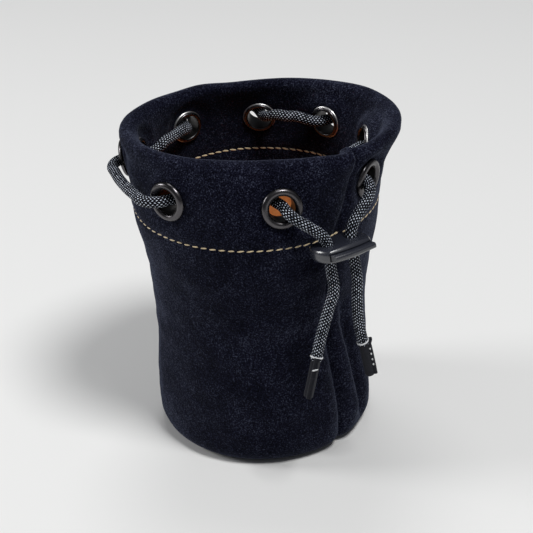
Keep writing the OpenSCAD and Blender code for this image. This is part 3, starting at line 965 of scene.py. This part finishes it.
# %% Tabs
tab_length, tab_width, tab_round, flap_thick = 14.0, 4.1, 3.1, 1.6
tab_rise = 1.2
half_flap = flap_thick / 2
flap_end = tab_width - tab_round / 2
tab_section = [(flap_end, half_flap - 0.3), (flap_end - 0.25, half_flap - 0.03)]
tab_section += [(flap_end - 0.9, half_flap + 0.02), (tab_round / 2 - 0.1, half_flap - 0.12)]
tab_section += rounded((0, 0), tab_round / 2, 42, 318, 22)
tab_section += [(x, -y) for x, y in reversed(tab_section[:4])]
tab_section += [(flap_end + 0.02, -0.15), (flap_end - 0.22, 0), (flap_end + 0.02, 0.15)]


def tab_frame(top, above, flap_turn):
    """The placing of a tab: Z runs down along the cord, X points to the flap."""
    down = (top - above).normalized()
    lean = Matrix.Rotation(math.acos(down.z), 4, "Y")
    swing = Matrix.Rotation(math.atan2(down.y, down.x), 4, "Z")
    return Matrix.Translation(top) @ swing @ lean @ Matrix.Rotation(math.radians(flap_turn), 4, "Z")


def tab_piece(name, placing):
    work = bmesh.new()
    corners = [work.verts.new((x, y, -tab_rise)) for x, y in tab_section]
    edges = [work.edges.new(pair) for pair in zip(corners, corners[1:] + corners[:1])]
    rows = 20
    bmesh.ops.spin(work, geom=corners + edges, cent=(0, 0, 0), axis=(0, 0, 1), angle=0, steps=rows,
                   dvec=(0, 0, tab_length / rows), use_merge=False, use_normal_flip=False,
                   use_duplicate=False)
    ends = [edge for edge in work.edges if edge.is_boundary]
    bmesh.ops.holes_fill(work, edges=ends, sides=0)
    bmesh.ops.recalc_face_normals(work, faces=work.faces)
    for point in work.verts:
        z = point.co.z
        bound = 1 + 0.2 * valley(z + tab_rise, 1.2) - 0.06 * valley(z + tab_rise - 1.6, 0.7)
        slack = 1 + 0.05 * noise.noise(point.co * 0.45 + Vector((len(name), 1.5, 0.2)))
        point.co.x *= bound * slack
        point.co.y *= bound * slack
        point.co = placing @ (point.co * MM)
    piece = add_piece(name, to_mesh(work, name))
    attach(piece, "cup")
    return piece


left_frame = tab_frame(route[0], route[1], 122)
right_frame = tab_frame(route[-1], route[-2], 212)
left_tab = tab_piece("left_leather_tab", left_frame)
right_tab = tab_piece("right_leather_tab", right_frame)
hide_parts("end_tab_left")
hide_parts("end_tab_right")
print("tabs:", len(left_tab.data.polygons), "faces each")


def black_leather_finish():
    finish, tree, shader = new_finish("black_leather", (0.008, 0.0085, 0.013), Roughness=0.7,
                                      Specular_IOR_Level=0.2, Sheen_Weight=0.04,
                                      Sheen_Roughness=0.5, Sheen_Tint=(0.7, 0.75, 0.9, 1))
    place = place_of(tree)
    grain = node(tree, "TexVoronoi", Vector=place, Scale=1 / (0.55 * MM)).outputs["Distance"]
    pile = clouds(tree, place, 0.9 * MM, 3, 0.7)
    color = ramp(tree, pile, (0.3, (0.0035, 0.0036, 0.006)), (0.6, (0.0085, 0.009, 0.014)),
                 (0.85, (0.017, 0.018, 0.026)))
    tree.links.new(color, shader.inputs["Base Color"])
    bumps(tree, shader, (grain, 0.07 * MM), (pile, 0.1 * MM))
    return finish


black_leather = black_leather_finish()
dress(left_tab, black_leather)
dress(right_tab, black_leather)

# %% [markdown]
# ## White threads of the tabs
# A white thread is wound round the top of each tab, where it grips the cord, and small stitches
# close the flap. The winding is a ring spun round the cord, drawn slightly askew as a hand winds
# it, and the stitches are the same beads as on the hem.

# %% Tab threads
white_width = 0.6
ring_drop, ring_tilt = 0.3 - tab_rise, 0.16


def tab_threads(name, placing, spots, over_edge):
    """The winding at the tab's top, stitches through the flap, and a slanting one on its edge."""
    work = bmesh.new()
    ring_radius = tab_round / 2 + 0.25
    lean = Matrix.Translation((0, 0, ring_drop)) @ Matrix.Rotation(ring_tilt, 4, "Y")
    ring = bmesh.ops.create_circle(work, segments=10, radius=white_width / 2,
                                   matrix=lean @ Matrix.Translation((ring_radius, 0, 0))
                                   @ Matrix.Rotation(math.pi / 2, 4, "X"))["verts"]
    edges = list({edge for vert in ring for edge in vert.link_edges})
    bmesh.ops.spin(work, geom=ring + edges, cent=lean.translation,
                   axis=lean.to_3x3() @ Vector((0, 0, 1)), dvec=(0, 0, 0), angle=2 * math.pi,
                   steps=40, use_merge=True, use_normal_flip=False, use_duplicate=False)
    down, side, out = Vector((0, 0, 1)), Vector((0, 1, 0)), Vector((1, 0, 0))
    for spot in spots:
        for face in (-1, 1):
            place = Vector((flap_end - 0.75, face * (half_flap - 0.02), spot))
            stitch(work, place, down, side * face, 0.85, 0.55)
    for spot in over_edge:
        place = Vector((flap_end, 0, spot))
        stitch(work, place, (down * 0.45 + side).normalized(), out, 2.1, white_width)
    bmesh.ops.recalc_face_normals(work, faces=work.faces)
    work.transform(placing @ Matrix.Diagonal((MM, MM, MM, 1)))
    piece = add_piece(name, to_mesh(work, name), white_thread)
    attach(piece, "cup")
    return piece


left_threads = tab_threads("left_tab_threads", left_frame, (), (2.6,))
right_threads = tab_threads("right_tab_threads", right_frame, (2.2, 4.3, 6.6, 8.7), ())
print("tab threads ready")

# %% [markdown]
# ## Room and light
# The table is a plain pale sheet. The main soft box hangs high in front of the lock, so that the
# lock and the tails throw their shadows down the wall. A low one on the left draws the end of the
# lock and the rim, a weak one behind lights the edge of the mouth, and the pale room fills in.

# %% Floor and lamps


def make_floor():
    work = bmesh.new()
    bmesh.ops.create_grid(work, x_segments=1, y_segments=1, size=6.0)
    floor = add_piece("floor", to_mesh(work, "floor"), shaded=False)
    finish, _, _ = new_finish("pale_floor", (0.80, 0.80, 0.79), Roughness=0.9)
    dress(floor, finish)


def soft_box(name, bearing, height, distance, size, power):
    data = bpy.data.lights.new(name, "AREA")
    data.shape = "DISK"
    data.size = size
    data.energy = power
    lamp = bpy.data.objects.new(name, data)
    bpy.context.scene.collection.objects.link(lamp)
    place = at_turn(bearing, distance, height)
    lamp.matrix_world = Matrix.Translation(place) @ place.to_track_quat("Z", "Y").to_matrix().to_4x4()


make_floor()
soft_box("key_light", 8, 1.25, 0.6, 0.4, 12.3)
soft_box("side_light", -130, 0.5, 0.95, 0.35, 4.5)
soft_box("back_light", 150, 1.2, 0.5, 0.5, 3.5)
world = bpy.data.worlds.new("room")
bpy.context.scene.world = world
world.use_nodes = True
world.node_tree.nodes["Background"].inputs["Color"].default_value = (0.9, 0.93, 1.0, 1)
world.node_tree.nodes["Background"].inputs["Strength"].default_value = 0.12
bpy.context.scene.view_settings.view_transform = "Standard"
print("room ready")
